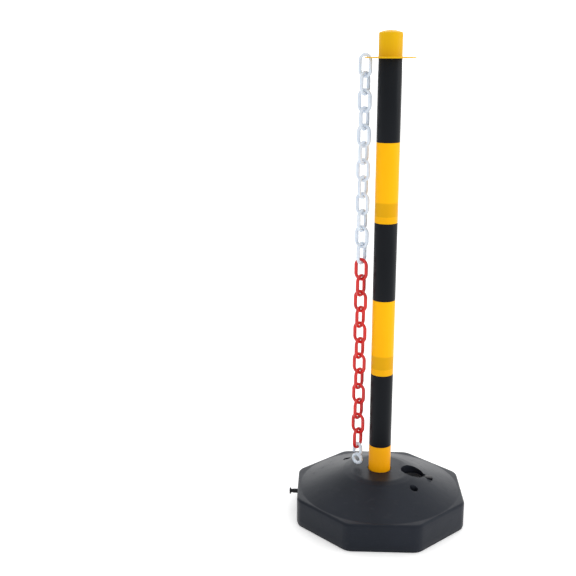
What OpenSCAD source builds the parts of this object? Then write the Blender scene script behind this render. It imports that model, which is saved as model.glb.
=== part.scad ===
// Plastic chain stanchion: a hollow octagonal ballast base, a post of push-together
// sections, a cap with two chain eyelets, and a length of plastic chain with its hook.
// Millimetres, +Z up, origin on the floor under the middle of the post.

/* [Post] */
// Outer diameter of the post
tube_d = 40; // [36:1:42]
// Wall thickness of the post and the cap
tube_wall = 2; // [1.6:0.1:2.4]
// Height of a full section, from one joint line to the next
section_h = 137; // [134:1:140]
// Height of the first joint line above the floor
first_joint_z = 134.5; // [130:0.5:138]
// Length of the spigot on top of each section
spigot_h = 34; // [26:1:35]

/* [Cap] */
// Height of the cap from the underside of its flange to the top of its dome
cap_h = 45; // [44:1:60]
// Diameter of the flange
flange_d = 86; // [84:1:90]
// Thickness of the flange
flange_t = 2; // [1.8:0.1:4]
// Distance of each eyelet from the middle of the post
eyelet_x = 33.5; // [32:0.5:34]
// Diameter of each eyelet
eyelet_d = 11; // [10:0.5:11]
// Width of the slit from each eyelet to the rim
slit_w = 4.5; // [3:0.5:4.5]

/* [Base] */
// Width of the octagon across its flats
base_w = 300; // [280:1:320]
// Height of the side walls
wall_h = 51.5; // [45:0.5:55]
// Wall thickness of the moulding
base_wall = 3; // [2.5:0.5:4]
// Height of the top beside the post
top_z = 87.6; // [84:0.2:88]
// Radius of the nearly level top around the post
boss_r = 60; // [50:1:62]
// Radius of the filler recess
recess_r = 21; // [20:0.5:22]
// Radius of the filler neck
neck_r = 15; // [12:0.5:16]

/* [Chain] */
// Number of links of each colour
links_each = 12; // [2:1:12]
// Diameter of the link rod
rod_d = 6; // [5:0.5:6]
// Outer length of a link
link_l = 41.4; // [38:0.2:41.4]
// Outer width of a link
link_w = 27; // [26:0.5:28]
// Turn of the first link away from the line to the post
chain_yaw = 35; // [25:1:40]

/* [Hidden] */
link_count = 2 * links_each;
function two_digits(n) = n < 10 ? str("0", n) : str(n);
function link_name(n) = str("link_", two_digits(n));
SECTIONS = ["section_1_yellow", "section_2_black", "section_3_yellow",
            "section_4_black", "section_5_yellow", "section_6_black"];
LINKS = [for (n = [1:link_count]) link_name(n)];

black = "#1b1c1f";
base_black = "#141518";
yellow = "#f4b20c";
white = "#eef2f6";
red = "#cf2222";

smooth = 96;
far = 500;
push_gap = 0.1;
tube_r = tube_d / 2;
bore_r = tube_r - tube_wall;

// Post
spigot_r = bore_r - push_gap;
relief_r = spigot_r - 0.9;
relief_h = 12;
spigot_bore_r = relief_r - tube_wall;
end_chamfer = 0.6;
socket_floor_z = 7;
section_1_z = socket_floor_z + 1;
flange_z = first_joint_z + 5 * section_h;

// Cap
flange_r = flange_d / 2;
flange_round = 0.8;
dome_rise = 4.3;
dome_r = (tube_r * tube_r + dome_rise * dome_rise) / (2 * dome_rise);
cap_bore_h = spigot_h + 2;
cap_wall_h = cap_h - dome_rise;

// Base
flat_r = base_w / 2;
corner_r = flat_r / cos(22.5) - 2;
rim_round = 4;
foot_round = 5;
cone_r = flat_r - rim_round - 0.5;
cone_top_z = top_z - 4.6;
boss_round = 6;
socket_wall = 3;
socket_r = tube_r + push_gap;
recess_pos = [60, -5];
recess_floor_z = 68;
housing_wall = 2.5;
neck_h = 14;
slot_turn = -8;
slot_w = 13;
ring_turn = -20;
ring_pos_r = 7.6;
pocket_r = 7;
pocket_tip_r = 5;
pocket_pos_r = 83.5;
pocket_floor_z = 6;
drain_z = 36.5;
drain_r = 4;
drain_boss_l = 12;

// Chain
rod_r = rod_d / 2;
bow_r = link_w / 2 - rod_r;
leg_h = link_l - link_w;
link_gap = 0.5;
rest_gap = 1.1;
pitch = link_l - 2 * rod_d - link_gap;
crown = bow_r + leg_h / 2;
link_reach = 8.9;
chain_x = -eyelet_x - link_reach * cos(chain_yaw);
chain_y = link_reach * sin(chain_yaw);
first_bow_z = flange_z + flange_t + rest_gap - bow_r + rod_r;
first_link_z = first_bow_z - leg_h / 2;
last_crown_z = first_link_z - (link_count - 1) * pitch - crown;

// Hook
hook_bow_r = 7.5;
ring_r = 8.2;
hook_low_z = hook_bow_r + ring_r;
hook_high_z = 22.5;
hook_tip_z = 14.5;
hook_seat_z = hook_high_z + hook_bow_r - rod_d - link_gap;

// ---- shared shapes -------------------------------------------------------

// A bar along Y with a rectangular section whose long edges are rounded.
module rounded_bar(half, z0, z1, low, high) {
    rotate([90, 0, 0])
        linear_extrude(height = far, center = true) {
            translate([-half, z0 + low]) square([2 * half, z1 - z0 - low - high]);
            translate([-half + low, z0]) square([2 * (half - low), low]);
            translate([-half + high, z1 - high]) square([2 * (half - high), high]);
            for (side = [-1, 1]) {
                translate([side * (half - low), z0 + low]) circle(r = low, $fn = 48);
                translate([side * (half - high), z1 - high]) circle(r = high, $fn = 48);
            }
        }
}

// An octagonal slab with rounded rims and softened corners.
module octagon(half, z0, z1, low, high, corner) {
    intersection() {
        intersection_for(turn = [0, 45, 90, 135])
            rotate([0, 0, turn]) rounded_bar(half, z0, z1, low, high);
        cylinder(r = corner, h = far, $fn = smooth);
    }
}

// The shallow cone and nearly level boss on top of the base, moved in by inset.
module dome(inset) {
    rotate_extrude($fn = smooth)
        polygon([
            [0, wall_h - inset - 8],
            [cone_r - 2 * inset, wall_h - inset - 8],
            [cone_r - 2 * inset, wall_h - inset],
            [boss_r + boss_round, cone_top_z - inset],
            [boss_r, cone_top_z + 1.9 - inset],
            [boss_r - boss_round, cone_top_z + 3 - inset],
            [0, top_z - inset]
        ]);
}

// Part of a round rod bent to a radius, in the XZ plane, from one angle to another.
module rod_arc(radius, start, sweep) {
    rotate([90, 0, 0])
        rotate([0, 0, start])
            rotate_extrude(angle = sweep, $fn = smooth)
                translate([radius, 0]) circle(r = rod_r, $fn = 48);
}

// ---- base ----------------------------------------------------------------

// The filler slot runs out from the recess, in the slot's own radial plane.
module slot_shape(points, width) {
    translate([recess_pos[0], recess_pos[1], 0])
        rotate([0, 0, slot_turn])
            rotate([90, 0, 0])
                linear_extrude(height = width, center = true) polygon(points);
}

module base_outer() {
    octagon(flat_r, 0, wall_h, foot_round, rim_round, corner_r);
    dome(0);
}

module base_inner() {
    octagon(flat_r - base_wall, base_wall, wall_h - base_wall, 3, 2, corner_r - base_wall);
    dome(base_wall);
}

module housings() {
    cylinder(r = socket_r + socket_wall, h = top_z, $fn = smooth);
    translate([recess_pos[0], recess_pos[1], recess_floor_z - housing_wall])
        cylinder(r = recess_r + housing_wall, h = far, $fn = smooth);
    translate([recess_pos[0], recess_pos[1], recess_floor_z - neck_h])
        cylinder(r = neck_r + housing_wall, h = neck_h, $fn = smooth);
    slot_shape([[19, 64], [40, 60], [40, 90], [19, 90]], slot_w + 2 * housing_wall);
    for (turn = [-45, 135])
        rotate([0, 0, turn])
            translate([pocket_pos_r, 0, 0])
                cylinder(r1 = pocket_tip_r + housing_wall, r2 = pocket_r + housing_wall,
                         h = top_z, $fn = 48);
    translate([-flat_r, 0, drain_z])
        rotate([0, 90, 0])
            cylinder(r = drain_r + housing_wall, h = base_wall + drain_boss_l, $fn = 48);
}

module base_holes() {
    translate([0, 0, socket_floor_z]) cylinder(r = socket_r, h = far, $fn = smooth);
    translate([recess_pos[0], recess_pos[1], recess_floor_z])
        cylinder(r = recess_r, h = far, $fn = smooth);
    translate([recess_pos[0], recess_pos[1], recess_floor_z - neck_h - 1])
        cylinder(r = neck_r, h = far, $fn = smooth);
    slot_shape([[18, 69], [24, 71], [37.5, 66], [37.5, 95], [18, 95]], slot_w);
    for (turn = [-45, 135])
        rotate([0, 0, turn])
            translate([pocket_pos_r, 0, pocket_floor_z])
                cylinder(r1 = pocket_tip_r, r2 = pocket_r, h = top_z - pocket_floor_z, $fn = 48);
    translate([-flat_r - 1, 0, drain_z])
        rotate([0, 90, 0]) cylinder(r = drain_r, h = drain_boss_l + base_wall + 2, $fn = 48);
}

module base_shell() {
    color(base_black)
        difference() {
            base_outer();
            difference() {
                base_inner();
                housings();
            }
            base_holes();
        }
}

// Push-in stopper: a hollow shank under a dished disc with a raised ring, and a pull tab
// that lies in the slot.
module fill_stopper() {
    shank_r = neck_r - push_gap;
    disc_r = recess_r - 1.8;
    color(black) {
        translate([recess_pos[0], recess_pos[1], 0]) {
            rotate_extrude($fn = smooth)
                polygon([
                    [0, 67.6], [shank_r - 2, 67.6], [shank_r - 2, 57], [shank_r - 1, 57],
                    [shank_r, 58], [shank_r, 68.2], [disc_r, 68.2], [disc_r, 70.8],
                    [disc_r - 0.7, 71.5], [disc_r - 4, 71.5], [disc_r - 5, 70.3], [0, 70.3]
                ]);
            rotate([0, 0, ring_turn])
                translate([ring_pos_r, 0, 70])
                    rotate_extrude($fn = 48) translate([3.4, 0]) square([2.6, 2.2]);
        }
        slot_shape([[16, 68.8], [19, 69.2], [23, 72.6], [36, 67.8], [36, 69.8], [24, 74.4],
                    [20, 74.4], [16, 71]], slot_w - 2);
    }
}

// Spool-shaped bung in the side wall.
module drain_plug() {
    plug_out = 15.4;
    plug_in = 12;
    plug_r = drain_r - push_gap;
    color(black)
        translate([-flat_r - plug_out, 0, drain_z])
            rotate([0, 90, 0])
                rotate_extrude($fn = 48)
                    polygon([
                        [0, 0], [5.3, 0], [5.8, 0.5], [5.8, 2.1], [5.3, 2.6], [plug_r - 0.5, 2.6],
                        [plug_r - 0.5, 6], [plug_r, 7], [plug_r, plug_out + plug_in - 1],
                        [plug_r - 1, plug_out + plug_in], [0, plug_out + plug_in]
                    ]);
}

// ---- post ----------------------------------------------------------------

// One push-together section: tube, shoulder and spigot, standing on z = 0.
module section(height) {
    rotate_extrude($fn = smooth)
        polygon([
            [bore_r, 0], [tube_r - end_chamfer, 0], [tube_r, end_chamfer],
            [tube_r, height - end_chamfer], [tube_r - end_chamfer, height],
            [relief_r, height], [relief_r, height + relief_h],
            [spigot_r, height + relief_h + 0.9], [spigot_r, height + spigot_h - 1],
            [spigot_r - 1, height + spigot_h], [spigot_bore_r, height + spigot_h],
            [spigot_bore_r, height - 3], [bore_r, height - 6]
        ]);
}

module section_at(index) {
    translate([0, 0, first_joint_z + (index - 2) * section_h]) section(section_h);
}

module section_1_yellow() {
    color(yellow)
        translate([0, 0, section_1_z]) section(first_joint_z - section_1_z);
}

module section_2_black() {
    color(black) section_at(2);
}

module section_3_yellow() {
    color(yellow) section_at(3);
}

module section_4_black() {
    color(black) section_at(4);
}

module section_5_yellow() {
    color(yellow) section_at(5);
}

module section_6_black() {
    color(black) section_at(6);
}

// ---- cap -----------------------------------------------------------------

module cap_solid() {
    rotate_extrude($fn = smooth)
        polygon([
            [0, 0], [flange_r - flange_round, 0], [flange_r - 0.25, 0.25],
            [flange_r, flange_round], [flange_r, flange_t - flange_round],
            [flange_r - 0.25, flange_t - 0.25], [flange_r - flange_round, flange_t],
            [tube_r + 1.2, flange_t], [tube_r + 0.35, flange_t + 0.35],
            [tube_r, flange_t + 1.2], [tube_r, cap_wall_h - 1], [0, cap_wall_h - 1]
        ]);
    intersection() {
        translate([0, 0, cap_h - dome_r]) sphere(r = dome_r, $fn = smooth);
        translate([0, 0, cap_wall_h - 1]) cylinder(r = tube_r, h = dome_rise + 2, $fn = smooth);
    }
}

// An eyelet in the flange, opened to the rim by a slit.
module eyelet() {
    translate([-eyelet_x, 0, -1]) {
        cylinder(d = eyelet_d, h = flange_t + 2, $fn = 48);
        rotate([0, 0, 180 + chain_yaw])
            translate([0, -slit_w / 2, 0]) cube([20, slit_w, flange_t + 2]);
    }
}

module cap_head() {
    color(yellow)
        translate([0, 0, flange_z])
            difference() {
                cap_solid();
                translate([0, 0, -1]) cylinder(r = bore_r, h = cap_bore_h + 1, $fn = smooth);
                for (turn = [0, 180])
                    rotate([0, 0, turn]) eyelet();
            }
}

// ---- chain ---------------------------------------------------------------

// One link in the XZ plane, its middle at the origin.
module link_shape() {
    translate([0, 0, leg_h / 2]) rod_arc(bow_r, 0, 180);
    translate([0, 0, -leg_h / 2]) rod_arc(bow_r, 180, 180);
    for (side = [-1, 1])
        translate([side * bow_r, 0, -leg_h / 2]) cylinder(r = rod_r, h = leg_h, $fn = 48);
}

module chain_link(number) {
    color(number <= links_each ? white : red)
        translate([chain_x, chain_y, first_link_z - (number - 1) * pitch])
            rotate([0, 0, -chain_yaw + (number % 2 == 0 ? 90 : 0)]) link_shape();
}

// A closed ring below and an open hook above, in the XZ plane.
module hook_shape() {
    rod_arc(ring_r, 0, 360);
    translate([0, 0, hook_low_z]) rod_arc(hook_bow_r, 270, 90);
    translate([hook_bow_r, 0, hook_low_z])
        cylinder(r = rod_r, h = hook_high_z - hook_low_z, $fn = 48);
    translate([0, 0, hook_high_z]) rod_arc(hook_bow_r, 0, 180);
    translate([-hook_bow_r, 0, hook_tip_z])
        cylinder(r = rod_r, h = hook_high_z - hook_tip_z, $fn = 48);
    translate([-hook_bow_r, 0, hook_tip_z]) sphere(r = rod_r, $fn = 48);
}

module chain_hook() {
    color(white)
        translate([chain_x, chain_y, last_crown_z - hook_seat_z])
            rotate([0, 0, -chain_yaw]) hook_shape();
}

base_shell();
fill_stopper();
drain_plug();
section_1_yellow();
section_2_black();
section_3_yellow();
section_4_black();
section_5_yellow();
section_6_black();
cap_head();
for (n = [1:link_count])
    chain_link(n);
chain_hook();
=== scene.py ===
import math
import bmesh
import bpy
from mathutils import Matrix, Vector


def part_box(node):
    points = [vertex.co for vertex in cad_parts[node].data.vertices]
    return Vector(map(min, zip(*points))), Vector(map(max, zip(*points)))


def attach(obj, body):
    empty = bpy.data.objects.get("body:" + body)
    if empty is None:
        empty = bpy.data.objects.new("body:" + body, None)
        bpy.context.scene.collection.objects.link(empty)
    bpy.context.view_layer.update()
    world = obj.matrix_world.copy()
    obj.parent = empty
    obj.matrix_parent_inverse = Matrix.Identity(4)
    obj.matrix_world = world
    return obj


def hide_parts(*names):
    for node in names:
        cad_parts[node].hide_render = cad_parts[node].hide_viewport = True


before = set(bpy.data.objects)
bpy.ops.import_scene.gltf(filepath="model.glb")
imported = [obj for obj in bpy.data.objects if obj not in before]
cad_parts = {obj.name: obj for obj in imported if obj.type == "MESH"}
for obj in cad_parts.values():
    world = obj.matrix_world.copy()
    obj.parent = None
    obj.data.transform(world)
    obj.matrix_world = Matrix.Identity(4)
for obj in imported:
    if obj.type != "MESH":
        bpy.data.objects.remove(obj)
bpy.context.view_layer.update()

mm = 0.001
tau = 2 * math.pi
seamSharpness = 24        # how narrow a rod's parting line is
tiny = 1e-6
scene = bpy.context.scene


def spotOf(name):
    low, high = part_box(name)
    return (low + high) / 2


def linear(red, green, blue):
    # screen colour, 0 to 255, to the linear values that a shader takes
    def one(value):
        value = value / 255
        return value / 12.92 if value <= 0.04045 else ((value + 0.055) / 1.055) ** 2.4
    return (one(red), one(green), one(blue), 1)


# camera, light and floor

studio = {
    "cameraAt": (-0.0955, -1.5716, 0.8406),
    "pitchDown": 14.73,
    "turnLeft": 2.66,
    "lens": 57.83,
    "farthest": 100,
    "floorSize": 60,
    "floorDrop": 0.0002,      # just under the base, so that the two faces don't meet
    "floorColour": (0.94, 0.94, 0.94, 1),
    "floorPatches": 0.985,    # how far the paper darkens in wide, faint patches
    "floorGlow": 0.25,
    "skyMiddle": 0.98,        # brightness overhead and towards the camera
    "skyRight": 0.27,         # added towards +X, taken off towards -X
    "skyBack": 1.1,           # added straight behind the stanchion
    "skyBackFrom": 0.6,       # where that begins, 1 being straight behind
    "lamps": {                # place, target, width and height, watts
        "keyLight": ((2.3, -0.2, 1.2), (0, 0, 0.4), (0.9, 1.8), 8),
        "fillLight": ((-2.3, 0.1, 1.1), (0, 0, 0.45), (0.9, 1.8), 1),
        "topLight": ((0, 0.3, 2.6), (0, 0, 0), (1.8, 1.8), 10),
    },
}

print("studio")
scene.view_settings.view_transform = "Standard"
cameraData = bpy.data.cameras.new("camera")
cameraData.lens = studio["lens"]
cameraData.clip_end = studio["farthest"]
camera = bpy.data.objects.new("camera", cameraData)
camera.location = studio["cameraAt"]
camera.rotation_euler = (math.radians(90 - studio["pitchDown"]), 0,
                         math.radians(studio["turnLeft"]))
scene.collection.objects.link(camera)
scene.camera = camera


def softbox(name, at, aim, size, watts):
    data = bpy.data.lights.new(name, "AREA")
    data.shape = "RECTANGLE"
    data.size, data.size_y = size
    data.energy = watts
    lamp = bpy.data.objects.new(name, data)
    lamp.location = at
    lamp.rotation_euler = (Vector(aim) - Vector(at)).to_track_quat("-Z", "Y").to_euler()
    scene.collection.objects.link(lamp)


for name, lamp in studio["lamps"].items():
    softbox(name, *lamp)


# shader writing

class Signal:
    # one socket, so that shader maths reads as ordinary expressions

    def __init__(self, finish, socket):
        self.finish = finish
        self.socket = socket

    def step(self, operation, first, second):
        made = self.finish.node("ShaderNodeMath", {"operation": operation}, {0: first, 1: second})
        return Signal(self.finish, made.outputs[0])

    def __add__(self, other):
        return self.step("ADD", self, other)

    def __radd__(self, other):
        return self.step("ADD", other, self)

    def __sub__(self, other):
        return self.step("SUBTRACT", self, other)

    def __rsub__(self, other):
        return self.step("SUBTRACT", other, self)

    def __mul__(self, other):
        return self.step("MULTIPLY", self, other)

    def __rmul__(self, other):
        return self.step("MULTIPLY", other, self)

    def wave(self):
        made = self.finish.node("ShaderNodeMath", {"operation": "SINE"}, {0: self})
        return Signal(self.finish, made.outputs[0])


class Finish:
    # a material with one Principled shader and the nodes that feed it

    def __init__(self, name, **sockets):
        self.material = bpy.data.materials.new(name)
        self.material.use_nodes = True
        self.tree = self.material.node_tree
        self.tree.nodes.clear()
        self.shader = self.node("ShaderNodeBsdfPrincipled")
        self.node("ShaderNodeOutputMaterial", {}, {"Surface": self.shader.outputs[0]})
        for title, value in sockets.items():
            self.feed(self.shader.inputs[title.replace("_", " ")], value)

    def feed(self, socket, value):
        if isinstance(value, Signal):
            value = value.socket
        if isinstance(value, bpy.types.NodeSocket):
            self.tree.links.new(value, socket)
        else:
            socket.default_value = value

    def node(self, kind, settings=None, values=None):
        made = self.tree.nodes.new(kind)
        for title, value in (settings or {}).items():
            if title == "stops":
                for index, (place, shade) in enumerate(value):
                    stops = made.color_ramp.elements
                    stop = stops[index] if index < len(stops) else stops.new(place)
                    stop.position = place
                    stop.color = shade
            else:
                setattr(made, title, value)
        for title, value in (values or {}).items():
            self.feed(made.inputs[title], value)
        return made

    def spot(self):
        return self.node("ShaderNodeTexCoord").outputs["Object"]

    def height(self):
        split = self.node("ShaderNodeSeparateXYZ", {}, {0: self.spot()})
        return Signal(self, split.outputs["Z"])

    def grain(self, scale, detail, stretch=(1, 1, 1), rough=0.55):
        mapped = self.node("ShaderNodeMapping", {}, {"Vector": self.spot(), "Scale": stretch})
        made = self.node("ShaderNodeTexNoise", {}, {"Vector": mapped.outputs[0], "Scale": scale,
                                                    "Detail": detail, "Roughness": rough})
        return Signal(self, made.outputs[0])

    def spread(self, signal, low, high, toLow=0.0, toHigh=1.0):
        made = self.node("ShaderNodeMapRange", {"interpolation_type": "SMOOTHSTEP"},
                         {"Value": signal, "From Min": low, "From Max": high,
                          "To Min": toLow, "To Max": toHigh})
        return Signal(self, made.outputs[0])

    def blend(self, mask, first, second):
        # a colour Mix: its mask and its two colours are sockets 0, 6 and 7
        made = self.node("ShaderNodeMix", {"data_type": "RGBA"})
        for index, value in ((0, mask), (6, first), (7, second)):
            self.feed(made.inputs[index], value)
        return made.outputs[2]

    def relief(self, height, depth, below=None):
        values = {"Height": height, "Distance": depth, "Strength": 1.0}
        if below is not None:
            values["Normal"] = below
        return self.node("ShaderNodeBump", {}, values).outputs[0]

    def finish(self, **sockets):
        for title, value in sockets.items():
            self.feed(self.shader.inputs[title.replace("_", " ")], value)
        return self.material


class Sky(Finish):
    # the studio round the object: lighter behind it and on its right

    def __init__(self, name):
        self.material = bpy.data.worlds.new(name)
        self.material.use_nodes = True
        self.tree = self.material.node_tree
        self.tree.nodes.clear()
        way = self.node("ShaderNodeSeparateXYZ", {}, {
            0: self.node("ShaderNodeTexCoord").outputs["Generated"]})
        right, back = Signal(self, way.outputs["X"]), Signal(self, way.outputs["Y"])
        light = (studio["skyMiddle"] + studio["skyRight"] * right
                 + studio["skyBack"] * self.spread(back, studio["skyBackFrom"], 1.0))
        self.shader = self.node("ShaderNodeBackground", {}, {"Strength": light})
        self.shader.inputs["Color"].default_value = (1, 1, 1, 1)
        self.node("ShaderNodeOutputWorld", {}, {"Surface": self.shader.outputs[0]})


scene.world = Sky("studioSky").material


# mesh helpers

def toObject(name, mesh, finish):
    made = bpy.data.objects.new(name, mesh)
    scene.collection.objects.link(made)
    made.data.materials.append(finish)
    return made


def meshOf(name, corners, faces):
    mesh = bpy.data.meshes.new(name)
    mesh.from_pydata(corners, [], faces)
    mesh.validate()
    mesh.update()
    return mesh


def facesOut(mesh):
    # every face looks away from the solid
    work = bmesh.new()
    work.from_mesh(mesh)
    bmesh.ops.recalc_face_normals(work, faces=work.faces)
    work.to_mesh(mesh)
    work.free()


def smoothed(thing, sharpest):
    # smooth shading that keeps true edges crisp
    mesh = thing.data
    mesh.shade_smooth()
    mesh.set_sharp_from_angle(angle=math.radians(sharpest))
    return thing


def applied(thing):
    # the thing's modifiers become its mesh
    graph = bpy.context.evaluated_depsgraph_get()
    mesh = bpy.data.meshes.new_from_object(thing.evaluated_get(graph))
    thing.modifiers.clear()
    old = thing.data
    thing.data = mesh
    bpy.data.meshes.remove(old)
    return thing


def cutBy(thing, cutter, operation="DIFFERENCE"):
    step = thing.modifiers.new("cut", "BOOLEAN")
    step.operation = operation
    step.solver = "EXACT"
    step.object = cutter
    bpy.context.view_layer.update()
    applied(thing)
    mesh = cutter.data
    bpy.data.objects.remove(cutter)
    bpy.data.meshes.remove(mesh)
    return thing


def rounded(points, steps):
    # (across, up, fillet) points of a closed outline, each fillet drawn as an arc
    outline = []
    count = len(points)
    for index, (x, y, fillet) in enumerate(points):
        here = Vector((x, y))
        before = Vector(points[index - 1][:2]) - here
        after = Vector(points[(index + 1) % count][:2]) - here
        turn = before.angle(after, 0) if before.length and after.length else math.pi
        if fillet <= 0 or turn > math.pi - 0.02:
            outline.append((x, y))
            continue
        reach = min(fillet / math.tan(turn / 2), before.length * 0.49, after.length * 0.49)
        radius = reach * math.tan(turn / 2)
        middle = here + (before.normalized() + after.normalized()).normalized() * (
            radius / math.sin(turn / 2))
        start = here + before.normalized() * reach - middle
        end = here + after.normalized() * reach - middle
        sweep = start.angle_signed(end)
        for part in range(steps + 1):
            arm = start.copy()
            arm.rotate(Matrix.Rotation(-sweep * part / steps, 2))
            outline.append(tuple(middle + arm))
    return outline


def lathed(name, outline, finish, turns, at=(0, 0, 0)):
    # a closed outline of (radius, height) in millimetres, spun about the vertical
    corners, rows = [], []
    for radius, height in outline:
        if radius < tiny:
            rows.append([len(corners)])
            corners.append((at[0], at[1], at[2] + height * mm))
            continue
        rows.append(list(range(len(corners), len(corners) + turns)))
        for step in range(turns):
            angle = tau * step / turns
            corners.append((at[0] + radius * mm * math.cos(angle),
                            at[1] + radius * mm * math.sin(angle), at[2] + height * mm))
    faces = []
    for index, row in enumerate(rows):
        after = rows[(index + 1) % len(rows)]
        if len(row) == 1 and len(after) == 1:
            continue
        for step in range(turns):
            beyond = (step + 1) % turns
            if len(row) == 1:
                faces.append((row[0], after[step], after[beyond]))
            elif len(after) == 1:
                faces.append((row[step], after[0], row[beyond]))
            else:
                faces.append((row[step], after[step], after[beyond], row[beyond]))
    mesh = meshOf(name, corners, faces)
    facesOut(mesh)
    return toObject(name, mesh, finish)


def swept(name, path, widths, finish, closed, around, seam=0.0):
    # a round rod along a path of (x, z) points in the XZ plane; widths is its thickness at each
    # point, and seam is the height of the mould's parting line, all in millimetres
    corners, rings = [], []
    count = len(path)
    for index, (x, z) in enumerate(path):
        after = Vector(path[(index + 1) % count] if closed else path[min(index + 1, count - 1)])
        before = Vector(path[index - 1] if closed or index else path[0])
        along = (after - before).normalized()
        side = Vector((along.y, -along.x))
        rings.append(list(range(len(corners), len(corners) + around)))
        for step in range(around):
            angle = tau * step / around
            radius = widths[index] / 2
            line = abs(math.cos(angle)) ** seamSharpness * seam
            corners.append(((x + side.x * (radius + line) * math.cos(angle)) * mm,
                            radius * math.sin(angle) * mm,
                            (z + side.y * (radius + line) * math.cos(angle)) * mm))
    faces = []
    for index in range(count if closed else count - 1):
        here, after = rings[index], rings[(index + 1) % count]
        for step in range(around):
            beyond = (step + 1) % around
            faces.append((here[step], here[beyond], after[beyond], after[step]))
    if not closed:
        faces.append(tuple(reversed(rings[0])))
        faces.append(tuple(rings[-1]))
    mesh = meshOf(name, corners, faces)
    facesOut(mesh)
    return toObject(name, mesh, finish)


def placed(thing, matrix):
    # moves the mesh itself, so that the object stays at the origin
    thing.data.transform(matrix)
    thing.data.update()
    return thing


def cylinder(name, radius, low, high, at, turns):
    outline = [(0, low), (radius, low), (radius, high), (0, high)]
    return lathed(name, outline, blankFinish, turns, at)


def prism(name, outline, width, at, turn):
    # (along, up) points in a vertical plane, thickened sideways by width
    corners = [(x * mm, side * width / 2 * mm, z * mm) for side in (-1, 1) for x, z in outline]
    count = len(outline)
    faces = [tuple(range(count)), tuple(reversed(range(count, 2 * count)))]
    faces += [(i, (i + 1) % count, count + (i + 1) % count, count + i) for i in range(count)]
    mesh = meshOf(name, corners, faces)
    facesOut(mesh)
    made = toObject(name, mesh, blankFinish)
    return placed(made, Matrix.Translation(at) @ Matrix.Rotation(math.radians(turn), 4, "Z"))


def softEdges(thing, width, angle, steps=3):
    # a small bevel on every edge sharper than the angle
    work = bmesh.new()
    work.from_mesh(thing.data)
    bmesh.ops.remove_doubles(work, verts=work.verts, dist=0.02 * mm)
    limit = math.radians(angle)
    edges = [e for e in work.edges if len(e.link_faces) == 2 and e.calc_face_angle(0) > limit]
    bmesh.ops.bevel(work, geom=edges, offset=width * mm, segments=steps, profile=0.5,
                    affect="EDGES", clamp_overlap=True)
    work.to_mesh(thing.data)
    work.free()
    return thing


def remade(thing, finish):
    # the cutters leave their blank finish behind
    thing.data.materials.clear()
    thing.data.materials.append(finish)
    return thing


def shown(thing, node, body):
    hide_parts(node)
    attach(thing, body)
    return thing


blankFinish = bpy.data.materials.new("blank")


# plastics: colours are screen values, bump depths are metres

baseLook = {
    "deep": (21, 23, 29),
    "light": (27, 29, 36),
    "scuffed": (42, 43, 47),
    "sheen": 0.19,
    "tone": (0.74, 0.85, 1.0, 1),
    "roughness": (0.36, 0.46),
    "pebbleDepth": 0.00006,
    "rippleDepth": 0.0009,
}


def basePlastic():
    # blow-moulded polyethylene: satin, faintly pebbled, a little dust and handling wear
    look = baseLook
    made = Finish("basePlastic", IOR=1.5, Specular_IOR_Level=look["sheen"],
                  Specular_Tint=look["tone"])
    pebble = made.grain(900, 2)
    ripple = made.grain(14, 3)
    cloud = made.grain(9, 4)
    scuff = made.spread(made.grain(60, 6, (1, 1, 3)), 0.56, 0.74)
    tint = made.blend(made.spread(cloud, 0.3, 0.7), linear(*look["deep"]), linear(*look["light"]))
    tint = made.blend(scuff * 0.35, tint, linear(*look["scuffed"]))
    rough = made.spread(cloud, 0.25, 0.75, *look["roughness"]) + scuff * 0.1
    bumps = made.relief(pebble, look["pebbleDepth"], made.relief(ripple, look["rippleDepth"]))
    return made.finish(Base_Color=tint, Roughness=rough, Normal=bumps)


blackLook = {
    "deep": (13, 14, 17),
    "light": (18, 19, 22),
    "roughness": 0.34,
    "sheen": 0.13,
    "tone": (0.82, 0.9, 1.0, 1),
}

yellowLook = {
    "deep": (243, 175, 1),
    "light": (247, 179, 2),
    "roughness": 0.32,
    "sheen": 0.1,
    "tone": (1, 1, 1, 1),
    "band": (209, 154, 2),
    "bandFrom": 0.0105,       # metres above the section's foot
    "bandTo": 0.0375,
    "collar": (224, 163, 2),
    "collarTo": 0.0125,
    "rings": (246, 180, 6),
    "ringTurns": 1900.0,      # radians of the ring wave for each metre of height
    "ringDepth": 0.00012,
    # painted shade on the bottom section next to the base, then its colour higher up
    "footPaintedShade": (240, 151, 1),
    "footUnshaded": (233, 163, 2),
}

capLook = {
    "deep": (218, 169, 2),
    "light": (224, 175, 3),
    "roughness": 0.36,
    "sheen": 0.12,
    "tone": (1, 1, 1, 1),
}


def postPlastic(name, look):
    # injection-moulded tube: faint draw marks along its length
    made = Finish(name, IOR=1.49, Specular_IOR_Level=look["sheen"], Specular_Tint=look["tone"])
    marks = made.grain(520, 2, (1, 1, 0.03))
    cloud = made.grain(22, 3, (1, 1, 0.4))
    scuff = made.spread(made.grain(130, 6, (1, 1, 0.35)), 0.6, 0.78)
    tint = made.blend(made.spread(cloud, 0.3, 0.7), linear(*look["deep"]), linear(*look["light"]))
    rough = made.spread(cloud, 0.25, 0.75, look["roughness"] - 0.03, look["roughness"] + 0.05)
    bumps = made.relief(marks, 0.00004, made.relief(cloud, 0.0003))
    return made, tint, rough + scuff * 0.08, bumps


def plainPost(name, look):
    made, tint, rough, bumps = postPlastic(name, look)
    return made.finish(Base_Color=tint, Roughness=rough, Normal=bumps)


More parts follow.
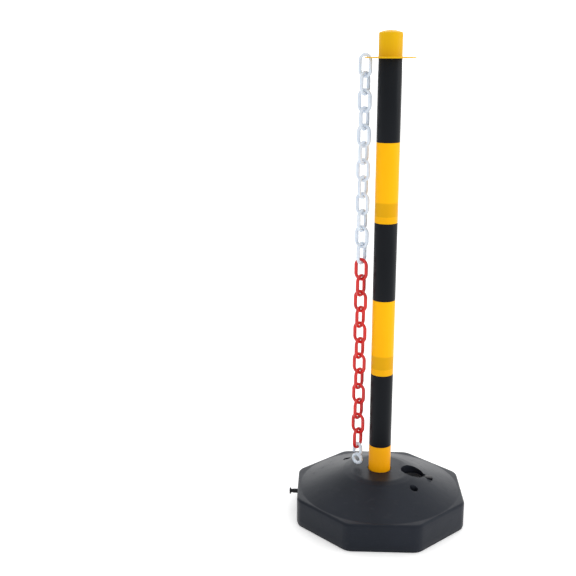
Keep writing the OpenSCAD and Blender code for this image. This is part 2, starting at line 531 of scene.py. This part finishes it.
def yellowPost(foot, sleeved):
    # the spigot of the section below shows through the wall as a duller band
    look = yellowLook
    made, tint, rough, bumps = postPlastic("yellowPost", look)
    up = made.height() - foot
    if sleeved:
        fade, step = 0.004, look["collarTo"] - look["bandFrom"]
        band = (made.spread(up, look["bandTo"], look["bandTo"] - fade)
                * made.spread(up, look["bandFrom"], look["bandFrom"] + step))
        collar = made.spread(up, look["collarTo"], look["collarTo"] - step)
        rings = made.spread((up * look["ringTurns"]).wave(), 0.4, 1.0) * collar
        tint = made.blend(band * 0.85, tint, linear(*look["band"]))
        tint = made.blend(collar * 0.6, tint, linear(*look["collar"]))
        tint = made.blend(rings * 0.4, tint, linear(*look["rings"]))
        bumps = made.relief(rings, look["ringDepth"], bumps)
    else:
        # painted shade: the bottom section is darker and more orange next to the base, which shades
        # it
        tint = made.blend(made.spread(up, 0.07, 0.13) * 0.3 + 0.6, linear(*look["footPaintedShade"]),
                          linear(*look["footUnshaded"]))
    return made.finish(Base_Color=tint, Roughness=rough, Normal=bumps)


whiteLook = {"deep": (207, 217, 229), "light": (217, 225, 235), "glow": 0.15}
redLook = {"deep": (196, 24, 22), "light": (214, 32, 28), "glow": 0.08}


def chainPlastic(name, look):
    # glossy polyethylene links with a thin waxy depth
    made = Finish(name, IOR=1.5, Specular_IOR_Level=0.5, Subsurface_Weight=look["glow"],
                  Subsurface_Radius=(0.003, 0.0022, 0.0018))
    cloud = made.grain(70, 3)
    pits = made.grain(1400, 2)
    scuff = made.spread(made.grain(420, 5), 0.58, 0.75)
    tint = made.blend(made.spread(cloud, 0.3, 0.7), linear(*look["deep"]), linear(*look["light"]))
    rough = made.spread(cloud, 0.25, 0.75, 0.27, 0.36) + scuff * 0.12
    bumps = made.relief(pits, 0.00003, made.relief(cloud, 0.0002))
    return made.finish(Base_Color=tint, Roughness=rough, Normal=bumps)


stopperLook = {"deep": (19, 20, 24), "light": (27, 28, 33), "sheen": 0.22, "roughness": (0.38, 0.5)}


def stopperPlastic():
    # softer moulded plastic, evenly pitted
    look = stopperLook
    made = Finish("stopperPlastic", IOR=1.5, Specular_IOR_Level=look["sheen"])
    cloud = made.grain(60, 3)
    pits = made.grain(1200, 2)
    tint = made.blend(made.spread(cloud, 0.3, 0.7), linear(*look["deep"]), linear(*look["light"]))
    rough = made.spread(cloud, 0.25, 0.75, *look["roughness"])
    return made.finish(Base_Color=tint, Roughness=rough, Normal=made.relief(pits, 0.00004))


print("plastics")
baseFinish = basePlastic()
blackFinish = plainPost("blackPost", blackLook)
capFinish = plainPost("yellowCap", capLook)
whiteFinish = chainPlastic("whiteLink", whiteLook)
redFinish = chainPlastic("redLink", redLook)
stopperFinish = stopperPlastic()


# shapes: millimetres and degrees

baseShape = {
    "flat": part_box("base_shell")[1].x / mm,
    "wall": 51.5,             # height of the side walls
    "corner": 26.0,
    "rimRound": 4.5,
    "footRound": 2.0,
    "footStep": 0.9,
    "footHeight": 4.2,
    "coneInset": 5.0,
    "coneRound": 9.0,
    "shoulder": [(54, 86.0, 30), (66, 83.0, 40)],    # radius, height, rounding
    "top": 87.6,
    "ringGap": 7.0,           # between the mesh rings of the dome
    "edge": 0.9,
    "socketRadius": 20.35,
    "socketFloor": 7.0,
    "recess": (60.0, -5.0),
    "recessRadius": 21.0,
    "recessFloor": 68.0,
    "neckRadius": 15.0,
    "neckFloor": 30.0,
    "slotTurn": -8.0,
    "slotWidth": 13.0,
    "slot": [(18, 69), (24, 71), (37.5, 66), (37.5, 95), (18, 95)],
    "pocketAt": 83.5,
    "pocketRadius": 7.0,
    "pocketTip": 5.0,
    "pocketFloor": 6.0,
    "pocketFlare": 1.2,
    "pocketTurns": (-45, 135),
    "drainHeight": 36.5,
    "drainRadius": 4.0,
    "drainDepth": 18.0,
    "above": 120.0,           # cutters reach this high
}


def octagonRadius(angle, flat, corner):
    # distance to an octagon with rounded corners, along a direction
    local = abs((angle + math.pi / 8) % (math.pi / 4) - math.pi / 8)
    eighth = math.pi / 8
    if math.tan(local) * flat <= (flat - corner) * math.tan(eighth):
        return flat / math.cos(local)
    reach = (flat - corner) / math.cos(eighth)
    off = eighth - local
    return reach * math.cos(off) + math.sqrt(corner ** 2 - (reach * math.sin(off)) ** 2)


def baseAngles():
    # closer together round the corners of the octagon
    b = baseShape
    turnIn = math.atan((b["flat"] - b["corner"]) * math.tan(math.pi / 8) / b["flat"])
    span = math.pi / 4 - 2 * turnIn
    flatSteps, cornerSteps = 20, 10
    angles = []
    for side in range(8):
        middle = side * math.pi / 4
        angles += [middle - turnIn + 2 * turnIn * step / flatSteps for step in range(flatSteps)]
        angles += [middle + turnIn + span * step / cornerSteps for step in range(cornerSteps)]
    return angles


def baseRings():
    # (kind, size, height): round rings on the dome, eight-sided rings on the walls
    b = baseShape
    rings = []
    edge = b["flat"] - b["coneInset"]
    beyond = 40                # the outline is drawn this far past the dome, then trimmed
    dome = rounded([(0, b["top"] - beyond, 0), (0, b["top"], 0)] + b["shoulder"]
                   + [(edge, b["wall"], b["coneRound"]), (edge + beyond, b["wall"], 0)], 9)
    dome = [point for point in dome if 1 < point[0] <= edge + 3]
    last = (0.0, b["top"])
    for radius, height in dome:
        apart = math.hypot(radius - last[0], height - last[1])
        parts = max(1, round(apart / b["ringGap"]))
        for part in range(1, parts + 1):
            share = part / parts
            rings.append(("round", last[0] + (radius - last[0]) * share,
                          last[1] + (height - last[1]) * share))
        last = (radius, height)
    quarter = [math.pi / 2 * step / 6 for step in range(7)]
    for turn in quarter:
        rings.append(("flat", b["rimRound"] * (1 - math.sin(turn)),
                      b["wall"] - b["rimRound"] * (1 - math.cos(turn))))
    for height in (38, 26, 14, b["footHeight"] + 0.5):
        rings.append(("flat", 0, height))
    rings.append(("flat", 0.25, b["footHeight"]))
    rings.append(("flat", b["footStep"], b["footHeight"] - 0.5))
    for turn in quarter:
        rings.append(("flat", b["footStep"] + b["footRound"] * (1 - math.cos(turn)),
                      b["footRound"] * (1 - math.sin(turn))))
    rings += [("flat", 14, 0), ("round", 100, 0), ("round", 50, 0)]    # the underside
    return rings


def baseBody():
    # the closed outside of the base, joined ring by ring from the top to the underside
    b = baseShape
    angles = baseAngles()
    corners = [(0, 0, b["top"] * mm)]
    rows = []
    for kind, size, height in baseRings():
        rows.append(len(corners))
        for angle in angles:
            radius = size if kind == "round" else octagonRadius(
                angle, b["flat"] - size, max(b["corner"] - size, 2))
            corners.append((radius * mm * math.cos(angle), radius * mm * math.sin(angle),
                            height * mm))
    corners.append((0, 0, 0))
    count = len(angles)
    faces = []
    for step in range(count):
        beyond = (step + 1) % count
        faces.append((0, rows[0] + step, rows[0] + beyond))
        for here, after in zip(rows, rows[1:]):
            faces.append((here + step, after + step, after + beyond, here + beyond))
        faces.append((rows[-1] + step, len(corners) - 1, rows[-1] + beyond))
    mesh = meshOf("baseShell", corners, faces)
    facesOut(mesh)
    return toObject("baseShell", mesh, baseFinish)


def makeBase():
    b = baseShape
    body = baseBody()
    recessAt = (b["recess"][0] * mm, b["recess"][1] * mm, 0)
    wide, above = b["socketRadius"], b["above"]
    socket = rounded([(0, b["socketFloor"], 0), (wide, b["socketFloor"], 0), (wide, 82, 3),
                      (wide + 1.3, 85.5, 3), (wide + 1.6, above, 0), (0, above, 0)], 4)
    cutBy(body, lathed("socket", socket, blankFinish, 96))
    cutBy(body, cylinder("recess", b["recessRadius"], b["recessFloor"], above, recessAt, 96))
    cutBy(body, cylinder("neck", b["neckRadius"], b["neckFloor"], b["recessFloor"] + 3,
                         recessAt, 72))
    cutBy(body, prism("slot", b["slot"], b["slotWidth"], Vector(recessAt), b["slotTurn"]))
    floor, mouth = b["pocketFloor"], b["pocketRadius"] + b["pocketFlare"]
    pocket = [(0, floor), (b["pocketTip"], floor), (b["pocketRadius"] - 0.4, 72), (mouth, 79),
              (mouth, b["top"]), (0, b["top"])]
    for turn in b["pocketTurns"]:
        spot = Matrix.Rotation(math.radians(turn), 3, "Z") @ Vector((b["pocketAt"] * mm, 0, 0))
        cutBy(body, lathed("pocket", pocket, blankFinish, 40, spot))
    drain = cylinder("drain", b["drainRadius"], -2, b["drainDepth"], (0, 0, 0), 40)
    placed(drain, Matrix.Translation((-b["flat"] * mm, 0, b["drainHeight"] * mm))
           @ Matrix.Rotation(math.pi / 2, 4, "Y"))
    cutBy(body, drain)
    softEdges(body, b["edge"], 40)
    smoothed(body, 40)
    return shown(remade(body, baseFinish), "base_shell", "base")


print("base")
makeBase()


stopperShape = {
    "shank": 14.9,
    "wall": 2.0,
    "foot": 57.0,             # heights above the floor
    "rib": 62.6,
    "inside": 67.6,
    "seat": 68.2,
    "dish": 70.3,
    "rim": 71.5,
    "disc": 19.2,
    "tabWidth": 11.0,
    "tab": [(16, 68.8), (18.5, 69.3), (20.5, 71.2), (22.5, 72.9), (25, 73.4), (36.8, 73.4),
            (36.8, 75.1), (24, 75.3), (21, 74.6), (18.6, 72.5), (17.4, 71.2), (16, 71)],
    "ringTurn": -20.0,
    "ringOut": 7.6,
    "ringInner": 3.4,
    "ringOuter": 6.0,
    "ringLow": 69.6,
    "ringHigh": 72.2,
    "edge": 0.35,
}


def makeFillStopper():
    # a dished disc on a hollow shank, with a raised ring and a pull tab
    s, b = stopperShape, baseShape
    at = (b["recess"][0] * mm, b["recess"][1] * mm, 0)
    shank, disc = s["shank"], s["disc"]
    inner = shank - s["wall"]
    outline = rounded([
        (0, s["inside"], 0), (inner, s["inside"], 0.6), (inner, s["foot"], 0.3),
        (shank, s["foot"], 1.0), (shank, s["rib"] - 0.6, 0), (shank - 0.5, s["rib"], 0),
        (shank, s["rib"] + 0.8, 0), (shank, s["seat"], 0.3), (disc, s["seat"], 0.4),
        (disc, s["rim"], 0.9), (disc - 3.6, s["rim"], 0.8), (disc - 4.6, s["dish"], 0.6),
        (0, s["dish"], 0)], 4)
    stopper = lathed("fillStopper", outline, stopperFinish, 96, at)
    way = math.radians(s["ringTurn"])
    ringAt = (at[0] + s["ringOut"] * mm * math.cos(way),
              at[1] + s["ringOut"] * mm * math.sin(way), 0)
    ring = rounded([(s["ringInner"], s["ringLow"], 0), (s["ringOuter"], s["ringLow"], 0),
                    (s["ringOuter"], s["ringHigh"], 0.8), (s["ringInner"], s["ringHigh"], 0.8)], 4)
    cutBy(stopper, lathed("ring", ring, stopperFinish, 48, ringAt), "UNION")
    cutBy(stopper, prism("tab", s["tab"], s["tabWidth"], Vector(at), b["slotTurn"]), "UNION")
    softEdges(stopper, s["edge"], 45, 2)
    smoothed(stopper, 45)
    return shown(remade(stopper, stopperFinish), "fill_stopper", "fill_stopper")


# (radius, distance from the outer face, rounding)
drainPlugOutline = [
    (0, 0, 0), (5.8, 0, 0.6), (5.8, 2.6, 0.6), (3.4, 2.6, 0.5), (3.4, 6, 0.4), (3.9, 7, 0.4),
    (3.9, 26.4, 0.3), (2.9, 27.4, 0.3), (0, 27.4, 0)]


def makeDrainPlug():
    low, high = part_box("drain_plug")
    plug = lathed("drainPlug", rounded(drainPlugOutline, 4), stopperFinish, 48)
    placed(plug, Matrix.Translation((low.x, (low.y + high.y) / 2, (low.z + high.z) / 2))
           @ Matrix.Rotation(math.pi / 2, 4, "Y"))
    smoothed(plug, 45)
    return shown(plug, "drain_plug", "drain_plug")


print("stoppers")
makeFillStopper()
makeDrainPlug()


postShape = {
    "outer": 20.0,
    "bore": 18.0,
    "spigot": 17.9,
    "spigotBore": 15.0,
    "spigotHeight": 34.0,
    "relief": 17.0,           # the spigot is thinner up to here
    "reliefHeight": 12.0,
    "edge": 0.7,
}


def makeSection(node, finish):
    # a tube with a spigot on top, which the next section's bore takes
    p = postShape
    low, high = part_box(node)
    tall = (high.z - low.z) / mm - p["spigotHeight"]
    top, neck = tall + p["spigotHeight"], tall + p["reliefHeight"]
    outline = rounded([
        (p["bore"], 0, 0.3), (p["outer"], 0, p["edge"]), (p["outer"], tall, p["edge"]),
        (p["relief"], tall, 0.3), (p["relief"], neck, 0.4), (p["spigot"], neck + 0.9, 0.4),
        (p["spigot"], top - 1, 0.5), (p["spigot"] - 1, top, 0.4), (p["spigotBore"], top, 0.4),
        (p["spigotBore"], tall - 3, 1), (p["bore"], tall - 6, 1)], 4)
    tube = smoothed(lathed(node + "Tube", outline, finish, 128, (0, 0, low.z)), 50)
    return shown(tube, node, node)


print("post")
sectionNodes = [name for name in sorted(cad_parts) if name.startswith("section_")]
for node in sectionNodes:
    if "black" in node:
        makeSection(node, blackFinish)
    else:
        makeSection(node, yellowPost(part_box(node)[0].z, node != sectionNodes[0]))


capShape = {
    "outer": 20.0,
    "bore": 18.0,
    "boreHeight": 36.0,
    "flange": 43.0,
    "flangeThick": 2.0,
    "shoulder": 40.7,
    "eyeletAt": 33.5,
    "eyeletRadius": 5.5,
    "slitWidth": 4.5,
    "slitLength": 22.0,
    "slitTurn": 35.0,
    "edge": 0.7,
}


def makeCap():
    # a low dome on a hollow head, and a flange with a slit eyelet on either side
    c = capShape
    low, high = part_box("cap_head")
    tall = (high.z - low.z) / mm
    rise = tall - c["shoulder"]
    ball = (c["outer"] ** 2 + rise ** 2) / (2 * rise)
    spread = math.asin(c["outer"] / ball)
    domeSteps = 10
    dome = [(ball * math.sin(spread * (1 - step / domeSteps)),
             tall - ball + ball * math.cos(spread * (1 - step / domeSteps)), 0)
            for step in range(1, domeSteps + 1)]
    outline = rounded([
        (0, c["boreHeight"], 0), (c["bore"], c["boreHeight"], 1), (c["bore"], 0, 0.4),
        (c["flange"], 0, 0.8), (c["flange"], c["flangeThick"], 0.8),
        (c["outer"], c["flangeThick"], 1.6), (c["outer"], c["shoulder"], 1.8)] + dome, 6)
    cap = lathed("capHead", outline, capFinish, 160, (0, 0, low.z))
    below, above = -3, 6       # how far the cutters reach past the flange
    for turn in (0, 180):
        spot = Matrix.Rotation(math.radians(turn), 3, "Z") @ Vector((-c["eyeletAt"] * mm, 0, 0))
        at = (spot.x, spot.y, low.z)
        cutBy(cap, cylinder("eyelet", c["eyeletRadius"], below, above, at, 64))
        slit = [(0, below), (c["slitLength"], below), (c["slitLength"], above), (0, above)]
        cutBy(cap, prism("slit", slit, c["slitWidth"], Vector(at), 180 + c["slitTurn"] + turn))
    softEdges(cap, c["edge"], 50)
    smoothed(cap, 40)
    return shown(remade(cap, capFinish), "cap_head", "cap_head")


print("cap")
makeCap()


chainShape = {
    "bow": 10.5,
    "leg": 14.4,
    "bowThick": 5.6,
    "legThick": 6.3,
    "swell": 1.6,             # how soon a bow thickens into the leg
    "seam": 0.16,             # height of the mould's parting line
    "yaw": 35.0,
}


def linkPath():
    # once round the link, with a flag from 0 on the bows to 1 on the legs
    s = chainShape
    bow, half = s["bow"], s["leg"] / 2
    bowSteps, legSteps = 24, 6
    path = []
    for end in (1, -1):
        for step in range(bowSteps + 1):
            angle = math.pi * step / bowSteps
            path.append((end * bow * math.cos(angle), end * (half + bow * math.sin(angle)),
                         max(0.0, 1 - math.sin(angle) * s["swell"])))
        for step in range(1, legSteps):
            path.append((-end * bow, end * half * (1 - 2 * step / legSteps), 1.0))
    return path


def makeLink(node, finish, master):
    # every second link is a quarter turn round
    turn = -chainShape["yaw"] + (90 if int(node[-2:]) % 2 == 0 else 0)
    link = bpy.data.objects.new(node + "Rod", master.copy())
    scene.collection.objects.link(link)
    remade(link, finish)
    placed(link, Matrix.Translation(spotOf(node)) @ Matrix.Rotation(math.radians(turn), 4, "Z"))
    return shown(link, node, node)


def makeChain():
    # one link's mesh, copied to each place; the upper half is white and the lower half red
    s = chainShape
    path = linkPath()
    widths = [s["bowThick"] + (s["legThick"] - s["bowThick"]) * flag for x, z, flag in path]
    first = smoothed(swept("link", [point[:2] for point in path], widths, whiteFinish, True, 28,
                           s["seam"]), 60)
    master = first.data
    bpy.data.objects.remove(first)
    links = [name for name in sorted(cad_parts) if name.startswith("link_")]
    for count, node in enumerate(links):
        makeLink(node, whiteFinish if count < len(links) / 2 else redFinish, master)
    bpy.data.meshes.remove(master)


print("chain")
makeChain()


# heights are above the middle of the ring
hookShape = {
    "ring": 8.2,
    "bow": 7.5,
    "low": 15.7,
    "high": 22.5,
    "tip": 14.5,
    "rod": 6.0,
    "around": 32,
    "ringSteps": 72,
    "tipSteps": 8,
    "voxel": 0.42,
}


def arc(radius, height, turns):
    # points round (0, height) in the XZ plane, one for each turn in degrees
    return [(radius * math.cos(math.radians(angle)),
             height + radius * math.sin(math.radians(angle))) for angle in turns]


def makeHook():
    # a ring at the bottom and an open bow above, grown together into one skin
    h = hookShape
    count = h["ringSteps"]
    ringPath = [(h["ring"] * math.cos(tau * step / count), h["ring"] * math.sin(tau * step / count))
                for step in range(count)]
    hook = swept("chainHook", ringPath, [h["rod"]] * count, whiteFinish, True, h["around"])
    path = arc(h["bow"], h["low"], range(-90, 1, 6)) + arc(h["bow"], h["high"], range(0, 181, 6))
    path += [(-h["bow"], h["high"] + (h["tip"] - h["high"]) * step / 6) for step in range(1, 7)]
    widths = [h["rod"]] * len(path)
    for step in range(1, h["tipSteps"] + 1):
        turn = math.pi / 2 * step / h["tipSteps"]
        path.append((-h["bow"], h["tip"] - h["rod"] / 2 * math.sin(turn)))
        widths.append(max(h["rod"] * math.cos(turn), 0.3))
    bow = swept("bow", path, widths, whiteFinish, False, h["around"])
    work = bmesh.new()
    work.from_mesh(hook.data)
    work.from_mesh(bow.data)
    work.to_mesh(hook.data)
    work.free()
    mesh = bow.data
    bpy.data.objects.remove(bow)
    bpy.data.meshes.remove(mesh)
    skin = hook.modifiers.new("skin", "REMESH")
    skin.mode = "VOXEL"
    skin.voxel_size = h["voxel"] * mm
    soft = hook.modifiers.new("soft", "SMOOTH")
    soft.factor = 0.5
    soft.iterations = 6
    applied(hook)
    remade(hook, whiteFinish)
    hook.data.shade_smooth()
    # the underside of the ring is the hook's lowest point
    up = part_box("chain_hook")[0].z + (h["ring"] + h["rod"] / 2) * mm
    link = spotOf("link_24")
    placed(hook, Matrix.Translation((link.x, link.y, up))
           @ Matrix.Rotation(math.radians(-chainShape["yaw"]), 4, "Z"))
    return shown(hook, "chain_hook", "chain_hook")


print("hook")
makeHook()


def makeFloor():
    # matt white paper that glows a little, so that it stays pale to the horizon
    half = studio["floorSize"] / 2
    made = Finish("floorPaper", Roughness=0.9, Specular_IOR_Level=0.1,
                  Emission_Color=(1, 1, 1, 1), Emission_Strength=studio["floorGlow"])
    cloud = made.grain(0.8, 2)
    pale = studio["floorColour"]
    dull = tuple(value * studio["floorPatches"] for value in pale[:3]) + (1,)
    made.finish(Base_Color=made.blend(made.spread(cloud, 0.3, 0.7), pale, dull))
    mesh = meshOf("floor", [(-half, -half, 0), (half, -half, 0), (half, half, 0),
                            (-half, half, 0)], [(0, 1, 2, 3)])
    floor = toObject("floor", mesh, made.material)
    floor.location.z = -studio["floorDrop"]


print("floor")
makeFloor()
bpy.data.materials.remove(blankFinish)
